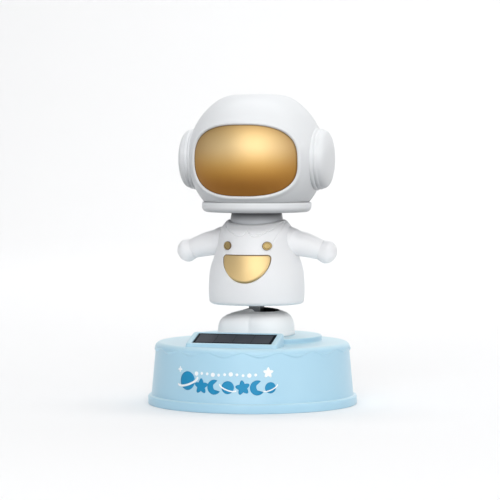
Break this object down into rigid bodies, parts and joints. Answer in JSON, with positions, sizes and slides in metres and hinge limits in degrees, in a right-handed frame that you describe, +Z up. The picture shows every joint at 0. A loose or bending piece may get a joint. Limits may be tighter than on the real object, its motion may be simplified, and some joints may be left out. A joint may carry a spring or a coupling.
{
  "type": "solar swaying astronaut figure",
  "caption": "Desk figure of an astronaut whose torso and helmet sway on a slim post above a round base with a tilted solar cell.",
  "frame": {"origin": "centre of the base's flat underside", "axes": "+Z up, front of the figure towards -Y, +X to the right as seen from the front"},
  "size_m": [0.074, 0.074, 0.1094],
  "materials": {
    "blue_plastic": "satin pale blue",
    "white_plastic": "satin white",
    "grey_plastic": "grey",
    "black_plastic": "black",
    "gold_visor": "metallised gold",
    "gold_plastic": "gold paint",
    "cell": "dark cell under clear glass",
    "board": "green solder mask",
    "capacitor_sleeve": "dark blue sleeve",
    "copper": "enamelled copper wire",
    "red_lead": "red insulation",
    "black_lead": "black insulation",
    "steel": "zinc plated",
    "nickel": "nickel plated"
  },
  "bodies": {
    "base": {"base_housing": "blue_plastic", "base_cover": "blue_plastic", "cover_screws": "steel", "solar_cell": "cell", "circuit_board": "board", "driver_chip": "black_plastic", "storage_capacitor": "capacitor_sleeve", "coil_bobbin": "black_plastic", "drive_coil": "copper", "cell_lead_plus": "red_lead", "cell_lead_minus": "black_lead", "coil_tails": "copper", "shoes": "white_plastic", "support_post": "grey_plastic", "post_screws": "steel", "torso_pin": "steel", "head_pin": "steel", "pin_nut": "steel"},
    "torso": {"torso_front": "white_plastic", "torso_back": "white_plastic", "neck_sleeve": "white_plastic", "pocket_inlay": "gold_plastic", "chest_buttons": "gold_plastic", "torso_hanger": "black_plastic", "hanger_screws": "steel", "left_arm": "white_plastic", "right_arm": "white_plastic"},
    "head": {"helmet_front": "white_plastic", "helmet_back": "white_plastic", "visor": "gold_visor", "helmet_collar": "white_plastic", "left_ear_pod": "white_plastic", "right_ear_pod": "white_plastic", "head_lever": "black_plastic", "magnet_holder": "black_plastic", "drive_magnet": "nickel", "balance_weight": "steel", "yoke_screws": "steel"}
  },
  "joints": [
    {"name": "body_sway", "type": "hinge", "parent": "base", "child": "torso", "pos_m": [0, 0.0058, 0.06], "axis": [0, 1, 0], "range_deg": [-6, 6]},
    {"name": "head_sway", "type": "hinge", "parent": "base", "child": "head", "pos_m": [0, 0.0058, 0.0695], "axis": [0, 1, 0], "range_deg": [-8, 8]}
  ]
}
